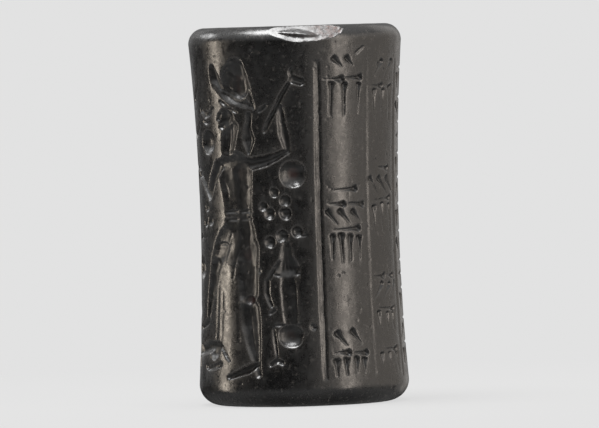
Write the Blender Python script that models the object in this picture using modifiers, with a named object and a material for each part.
"""A cylinder seal: one piece of dark polished stone, bored lengthwise and carved all round.

The seal stands on its lower end face. The origin is the centre of that face, the axis is +Z
and -Y is the front. The side is slightly waisted. The carving is cut into it, as a frieze
that reads from right to left on the stone: three columns of strokes between upright lines,
then a scene of figures and signs that fills the rest of the way round.

Frieze places are given in millimetres: "along" runs round the side at the radius of the
waist, from the line that closes the columns, and "up" is the height above the lower end.
"""

import math

import bmesh
import bpy
from mathutils import Matrix, Vector

MM = 0.001

# The stone
HEIGHT = 27.0 * MM
WAIST_RADIUS = 7.1 * MM
WAIST_HEIGHT = 13.0 * MM
SIDE_ARC_RADIUS = 160.0 * MM
TOP_EDGE_ROUNDING = 1.15 * MM
BOTTOM_EDGE_ROUNDING = 1.5 * MM
SIDE_ROWS = 7
EDGE_ROWS = 3
STEPS = 60

# The bore, drilled from both ends
BORE_MOUTH_RADIUS = 1.7 * MM
BORE_MIDDLE_RADIUS = 1.4 * MM
BORE_MOUTH_CHAMFER = 0.2 * MM

# The chip in the upper front edge
CHIP_ANGLE = math.radians(6.4)
CHIP_SIZE = Vector((3.45, 1.4, 1.2)) * MM

# The frieze
FRIEZE_START_ANGLE = math.radians(12.0)
FRIEZE_RADIUS = WAIST_RADIUS
LINE_FOOT, LINE_TOP = 1.9, 24.5
COLUMN_WIDTHS = (3.78, 3.53, 3.65)
LINE_HALF_WIDTH = 0.16
LONGEST_LEG = 1.6

STONE_COLOUR = (0.022, 0.021, 0.021, 1.0)
STONE_ROUGHNESS = 0.32


def clear_scene():
    for old in list(bpy.data.objects):
        bpy.data.objects.remove(old, do_unlink=True)


def new_collection(name):
    collection = bpy.data.collections.new(name)
    bpy.context.scene.collection.children.link(collection)
    return collection


def side_radius(height):
    """Outer radius of the waisted side."""
    rise = height - WAIST_HEIGHT
    return WAIST_RADIUS + SIDE_ARC_RADIUS - math.sqrt(SIDE_ARC_RADIUS**2 - rise**2)


def rounded_edge(height, rounding, first, last):
    """Points of a quarter round between the side and an end, from one angle to another."""
    centre_height = height - math.copysign(rounding, height - WAIST_HEIGHT)
    centre_radius = side_radius(centre_height) - rounding
    angles = [first + (last - first) * i / EDGE_ROWS for i in range(EDGE_ROWS + 1)]
    return [
        (
            centre_radius + rounding * math.cos(math.radians(angle)),
            centre_height + rounding * math.sin(math.radians(angle)),
        )
        for angle in angles
    ]


def stone_profile():
    """The half section, down the outside and back up the bore."""
    low = BOTTOM_EDGE_ROUNDING
    high = HEIGHT - TOP_EDGE_ROUNDING
    side = [high + (low - high) * i / SIDE_ROWS for i in range(1, SIDE_ROWS)]
    flare = BORE_MOUTH_RADIUS + BORE_MOUTH_CHAMFER
    return (
        rounded_edge(HEIGHT, TOP_EDGE_ROUNDING, 90, 0)
        + [(side_radius(height), height) for height in side]
        + rounded_edge(0.0, BOTTOM_EDGE_ROUNDING, 0, -90)
        + [
            (flare, 0.0),
            (BORE_MOUTH_RADIUS, BORE_MOUTH_CHAMFER),
            (BORE_MIDDLE_RADIUS, HEIGHT / 2),
            (BORE_MOUTH_RADIUS, HEIGHT - BORE_MOUTH_CHAMFER),
            (flare, HEIGHT),
        ]
    )


def make_stone(collection):
    profile = stone_profile()
    mesh = bpy.data.meshes.new("cylinder_seal")
    edges = [(i, (i + 1) % len(profile)) for i in range(len(profile))]
    mesh.from_pydata([(radius, 0.0, height) for radius, height in profile], edges, [])
    stone = bpy.data.objects.new("cylinder_seal", mesh)
    collection.objects.link(stone)
    turn = stone.modifiers.new("turned", "SCREW")
    turn.axis = "Z"
    turn.angle = math.tau
    turn.steps = turn.render_steps = STEPS
    turn.use_smooth_shade = True
    turn.use_merge_vertices = True
    turn.merge_threshold = 0.00001
    return stone


def stone_material():
    material = bpy.data.materials.new("haematite")
    material.use_nodes = True
    shader = material.node_tree.nodes["Principled BSDF"]
    shader.inputs["Base Color"].default_value = STONE_COLOUR
    shader.inputs["Metallic"].default_value = 0.0
    shader.inputs["Roughness"].default_value = STONE_ROUGHNESS
    shader.inputs["IOR"].default_value = 2.6
    return material


def side_point(along, up, lift=0.0):
    """The point of the side at a frieze place, lifted off it by some millimetres."""
    angle = FRIEZE_START_ANGLE - along * MM / FRIEZE_RADIUS
    radius = side_radius(up * MM) + lift * MM
    return Vector((radius * math.sin(angle), -radius * math.cos(angle), up * MM))


def ball_of_cut(half_width, depth):
    """Radius and stand-off of the ball that sinks this deep and opens this wide."""
    radius = (half_width**2 + depth**2) / (2 * depth)
    return radius, radius - depth


def side_frame(along, up, lift=0.0):
    """A frame on the side: X to the right, Y up and Z outwards."""
    place = side_point(along, up, lift)
    outward = Vector((place.x, place.y, 0.0)).normalized()
    upward = Vector((0.0, 0.0, 1.0))
    axes = Matrix((upward.cross(outward), upward, outward)).transposed()
    return Matrix.Translation(place) @ axes.to_4x4()


def ball_mesh(name, size, segments, rings):
    """A ball, or an ellipsoid, with its poles on Z."""
    mesh = bpy.data.meshes.new(name)
    ball = bmesh.new()
    bmesh.ops.create_uvsphere(ball, u_segments=segments, v_segments=rings, radius=MM)
    bmesh.ops.scale(ball, vec=size, verts=ball.verts)
    ball.to_mesh(mesh)
    ball.free()
    return mesh


def welded(mesh):
    """The mesh with its end caps joined to its sides, facing out."""
    work = bmesh.new()
    work.from_mesh(mesh)
    bmesh.ops.remove_doubles(work, verts=work.verts, dist=0.000001)
    bmesh.ops.recalc_face_normals(work, faces=work.faces)
    work.to_mesh(mesh)
    work.free()
    return mesh


class Carver:
    """Makes the cutters: balls for the drill, ellipsoids, and tapering bars for the wheel."""

    def __init__(self, collection):
        self.collection = collection

    def add(self, name, mesh, matrix):
        cutter = bpy.data.objects.new(name, mesh)
        cutter.matrix_world = matrix
        cutter.hide_render = True
        cutter.display_type = "WIRE"
        self.collection.objects.link(cutter)

    def drill(self, name, along, up, half_width, depth=None):
        """A round hollow."""
        radius, lift = ball_of_cut(half_width, depth or 0.5 * half_width)
        segments, rings = (10, 8) if half_width > 0.5 else (8, 6)
        mesh = ball_mesh(name, (radius, radius, radius), segments, rings)
        self.add(name, mesh, side_frame(along, up, lift))

    def hollow(self, name, along, up, half_width, half_height, depth, lean=0.0):
        """A shallow oval hollow, leaning by some degrees."""
        mesh = ball_mesh(name, (half_width, half_height, depth), 12, 6)
        self.add(name, mesh, side_frame(along, up) @ Matrix.Rotation(math.radians(lean), 4, "Z"))

    def cut(self, name, *stops, sides=8):
        """A round-bottomed groove through stops of (along, up, half width)."""
        places = []
        for (a0, u0, w0), (a1, u1, w1) in zip(stops, stops[1:]):
            legs = max(1, math.ceil(math.hypot(a1 - a0, u1 - u0) / LONGEST_LEG))
            for i in range(legs):
                t = i / legs
                places.append((a0 + (a1 - a0) * t, u0 + (u1 - u0) * t, w0 + (w1 - w0) * t))
        places.append(stops[-1])
        self.sweep(name, self.with_tips(places), sides)

    def line(self, name, *stops):
        """A thin groove."""
        self.cut(name, *stops, sides=6)

    def upright(self, name, along, low, high, half_width):
        """A straight vertical groove."""
        self.line(name, (along, low, half_width), (along, high, half_width))

    @staticmethod
    def with_tips(places):
        """The same places with a tapering tip past each end."""
        tips = []
        for end, inner in ((places[0], places[1]), (places[-1], places[-2])):
            away = Vector((end[0] - inner[0], end[1] - inner[1])).normalized() * 0.7 * end[2]
            tips.append((end[0] + away.x, end[1] + away.y, 0.55 * end[2]))
        return [tips[0], *places, tips[1]]

    def sweep(self, name, places, sides):
        curve = bpy.data.curves.new(name, "CURVE")
        curve.dimensions = "3D"
        curve.bevel_depth = MM
        curve.bevel_resolution = sides // 2 - 2
        curve.use_fill_caps = True
        spline = curve.splines.new("POLY")
        spline.points.add(len(places) - 1)
        for point, (along, up, half_width) in zip(spline.points, places):
            radius, lift = ball_of_cut(half_width, 0.6 * half_width)
            point.co = (*side_point(along, up, lift), 1.0)
            point.radius = radius
        bar = bpy.data.objects.new(name, curve)
        self.collection.objects.link(bar)
        bpy.context.view_layer.update()
        evaluated = bar.evaluated_get(bpy.context.evaluated_depsgraph_get())
        mesh = bpy.data.meshes.new_from_object(evaluated)
        self.add(name, welded(mesh), bar.matrix_world.copy())
        bpy.data.objects.remove(bar, do_unlink=True)


def carve_columns(c):
    """Upright lines, and short strokes in rows between them."""
    line_at = 0.0
    c.upright("line_0", line_at, LINE_FOOT, LINE_TOP, LINE_HALF_WIDTH)
    for i, width in enumerate(COLUMN_WIDTHS, start=1):
        line_at -= width
        c.upright(f"line_{i}", line_at, LINE_FOOT, LINE_TOP, LINE_HALF_WIDTH)
    near = -COLUMN_WIDTHS[0] / 2
    middle = -COLUMN_WIDTHS[0] - COLUMN_WIDTHS[1] / 2
    for name, centre, rows in (("near", near, (22.2, 13.6)), ("middle", middle, (21.8, 14.8, 7.8))):
        for i, up in enumerate(rows):
            for j in (-1, 0, 1):
                foot, head = centre + 0.75 * j, centre + 1.0 * j
                c.line(f"stroke_{name}_{i}_{j + 1}", (foot, up - 0.8, 0.13), (head, up + 0.8, 0.2))


def carve_bow_legged_figure(c):
    """A small bow-legged figure under a cluster of drilled hollows."""
    drills = (
        (1.9, 16.5, 0.95), (2.5, 14.65, 0.4), (3.25, 15.25, 0.32), (4.1, 14.25, 0.32),
        (2.5, 13.75, 0.42), (3.65, 13.75, 0.4), (1.7, 12.45, 0.4), (2.75, 12.15, 0.43),
        (3.65, 11.75, 0.4), (2.3, 5.2, 0.88),
    )
    for i, (along, up, half_width) in enumerate(drills):
        c.drill(f"drilled_{i}", along, up, half_width)
    c.hollow("bow_leg_body", 2.45, 10.2, 0.75, 1.3, 0.28)
    c.cut("bow_leg_club", (2.4, 8.5, 0.4), (2.3, 6.5, 0.35))
    c.line("bow_leg", (3.95, 8.9, 0.2), (3.7, 7.2, 0.2))


def carve_warrior(c):
    """A striding figure with a raised mace, one foot on a crouching animal."""
    c.cut("warrior_brim", (4.0, 21.2, 0.25), (5.6, 21.6, 0.4), (6.6, 22.3, 0.4), (8.0, 23.4, 0.25))
    c.hollow("warrior_crown", 5.85, 23.65, 0.95, 1.2, 0.4)
    c.drill("warrior_head", 6.45, 20.6, 0.75, 0.3)
    c.line("warrior_lock", (5.0, 20.6, 0.22), (5.1, 19.6, 0.25))
    c.drill("warrior_lock_end", 5.1, 18.8, 0.58)
    c.hollow("warrior_torso", 6.35, 15.8, 1.4, 2.0, 0.5, 6)
    c.cut("warrior_rear_arm", (4.9, 17.1, 0.5), (3.6, 17.6, 0.45), (2.3, 18.1, 0.3))
    c.cut("warrior_upper_arm", (8.2, 17.1, 0.5), (9.3, 15.1, 0.4))
    c.cut("warrior_forearm", (9.6, 15.2, 0.32), (11.2, 16.7, 0.28), (12.7, 17.0, 0.2))
    for i, up in enumerate((13.85, 13.35)):
        c.line(f"warrior_belt_{i}", (5.0, up, 0.18), (7.3, up, 0.18))
    c.hollow("warrior_kilt", 6.5, 11.7, 1.6, 1.35, 0.45)
    c.hollow("warrior_thigh", 5.45, 9.3, 0.8, 1.5, 0.35)
    c.drill("warrior_knee", 5.4, 7.4, 0.62)
    c.cut("warrior_shin", (5.15, 6.3, 0.6), (4.9, 4.3, 0.4))
    c.cut("warrior_foot", (4.95, 3.0, 0.35), (6.9, 2.3, 0.22))
    c.cut("warrior_raised_shin", (8.85, 9.8, 0.7), (9.4, 8.0, 0.5), (9.85, 6.6, 0.3))
    c.cut("warrior_raised_foot", (10.3, 6.15, 0.27), (11.6, 5.9, 0.22))
    c.drill("mace_head", 1.55, 23.15, 0.5)
    c.line("mace_handle", (1.95, 22.5, 0.2), (3.6, 19.7, 0.2))


def carve_animal(c):
    """The crouching animal with horns."""
    c.cut("animal_body", (9.0, 4.5, 0.5), (12.5, 4.25, 0.45))
    c.line("animal_tail", (7.3, 3.75, 0.15), (8.1, 4.7, 0.18))
    c.line("animal_hind_leg", (8.2, 3.2, 0.22), (9.5, 3.05, 0.2))
    c.cut("animal_neck", (12.85, 5.1, 0.35), (12.95, 5.9, 0.32))
    c.cut("animal_head", (12.8, 6.9, 0.42), (14.2, 6.5, 0.3))
    c.line("animal_horns", (12.4, 7.95, 0.17), (14.0, 8.0, 0.17))


def carve_signs(c):
    """The forked sign on its staff, the whip and the drilled hollows about them."""
    c.line("fork_prong", (10.2, 23.15, 0.2), (11.4, 21.8, 0.2))
    c.line("fork", (10.5, 20.05, 0.25), (12.1, 19.15, 0.27), (13.8, 20.2, 0.25), (12.7, 21.7, 0.2))
    c.line("fork_foot", (11.0, 12.0, 0.2), (12.1, 11.95, 0.2))
    c.line("whip", (12.1, 15.7, 0.16), (12.9, 12.6, 0.18), (13.5, 10.2, 0.18), (14.8, 8.75, 0.17))
    drills = (
        (9.2, 18.9, 0.9), (9.35, 13.35, 0.38), (9.85, 14.2, 0.28), (10.15, 13.2, 0.32),
        (11.4, 9.95, 0.85), (15.2, 20.85, 0.92), (14.2, 23.4, 0.3), (15.5, 23.4, 0.3),
    )
    for i, (along, up, half_width) in enumerate(drills):
        c.drill(f"sign_drilled_{i}", along, up, half_width)


def carve_robed_figure(c):
    """A standing figure in a long robe, seen from the front."""
    c.cut("robed_hat", (17.3, 23.85, 0.3), (18.9, 23.95, 0.3))
    c.drill("robed_head", 18.1, 21.5, 0.68)
    c.cut("robed_shoulders", (15.9, 18.2, 0.45), (17.3, 18.85, 0.5), (18.8, 18.9, 0.5), (20.1, 18.4, 0.45))
    c.cut("robed_upper_arm", (20.35, 17.3, 0.32), (20.85, 15.9, 0.32))
    c.cut("robed_forearm", (20.4, 14.9, 0.35), (17.6, 13.9, 0.3))
    c.hollow("robed_chest", 17.2, 15.6, 1.2, 2.2, 0.35)
    c.cut("robed_rear_leg", (15.75, 7.4, 0.5), (15.55, 2.9, 0.4))
    c.cut("robed_leg", (18.55, 6.9, 0.45), (19.1, 2.9, 0.4))
    c.line("robed_blade", (16.45, 8.4, 0.22), (17.6, 7.45, 0.22))


def carve_upper_beast(c):
    """A small beast, turned upside down, high in the field."""
    c.line("beast_paw", (20.0, 23.45, 0.2), (21.8, 23.65, 0.2))
    c.cut("beast_chest", (20.8, 21.6, 0.6), (22.2, 19.9, 0.5))
    c.cut("beast_back", (22.3, 22.1, 0.45), (23.6, 22.1, 0.45))
    c.drill("beast_haunch", 25.1, 21.9, 0.85)
    c.line("beast_hind_leg", (24.1, 23.75, 0.2), (25.9, 23.55, 0.2))
    c.cut("beast_foreleg", (23.0, 18.6, 0.25), (23.7, 17.1, 0.22))


def carve_kneeling_figure(c):
    """A figure on one knee with both arms bent."""
    c.drill("kneeling_head", 23.65, 14.35, 0.85)
    c.cut("kneeling_arms", (21.5, 10.9, 0.28), (22.4, 11.7, 0.35), (24.6, 11.5, 0.35), (25.25, 9.9, 0.25))
    c.hollow("kneeling_torso", 23.15, 9.6, 0.6, 1.5, 0.35)
    c.drill("kneeling_hip", 23.05, 6.8, 1.0)
    c.cut("kneeling_shin", (22.2, 4.65, 0.27), (25.0, 4.85, 0.25))


def carve_goddess(c):
    """A figure in a flounced robe with one hand raised."""
    c.cut("goddess_hat", (28.2, 22.45, 0.35), (30.2, 22.25, 0.35))
    c.drill("goddess_head", 28.95, 20.75, 0.62)
    c.line("goddess_arm", (26.8, 17.8, 0.22), (27.45, 16.0, 0.24), (28.2, 16.4, 0.2))
    c.hollow("goddess_chest", 29.4, 16.1, 0.95, 1.9, 0.35)
    c.line("goddess_belt", (26.4, 13.35, 0.2), (30.4, 13.25, 0.22))
    for i in range(4):
        up = 9.9 - 1.87 * i
        c.line(f"goddess_flounce_{i}", (27.1 - 0.15 * i, up, 0.18), (29.7 + 0.2 * i, up, 0.18))
    c.cut("goddess_hem", (25.8, 2.85, 0.25), (31.0, 2.85, 0.25))


def make_chip_cutter(c):
    mesh = ball_mesh("chip", CHIP_SIZE / MM, 16, 10)
    place = Vector((0.0, -side_radius(HEIGHT), HEIGHT))
    c.add("chip", mesh, Matrix.Rotation(CHIP_ANGLE, 4, "Z") @ Matrix.Translation(place))


def main():
    clear_scene()
    parts = new_collection("cylinder seal")
    cutters = new_collection("carving cutters")
    stone = make_stone(parts)
    stone.data.materials.append(stone_material())
    carver = Carver(cutters)
    make_chip_cutter(carver)
    carve_columns(carver)
    carve_bow_legged_figure(carver)
    carve_warrior(carver)
    carve_animal(carver)
    carve_signs(carver)
    carve_robed_figure(carver)
    carve_upper_beast(carver)
    carve_kneeling_figure(carver)
    carve_goddess(carver)
    carving = stone.modifiers.new("carving", "BOOLEAN")
    carving.operation = "DIFFERENCE"
    carving.operand_type = "COLLECTION"
    carving.collection = cutters
    carving.solver = "EXACT"


main()
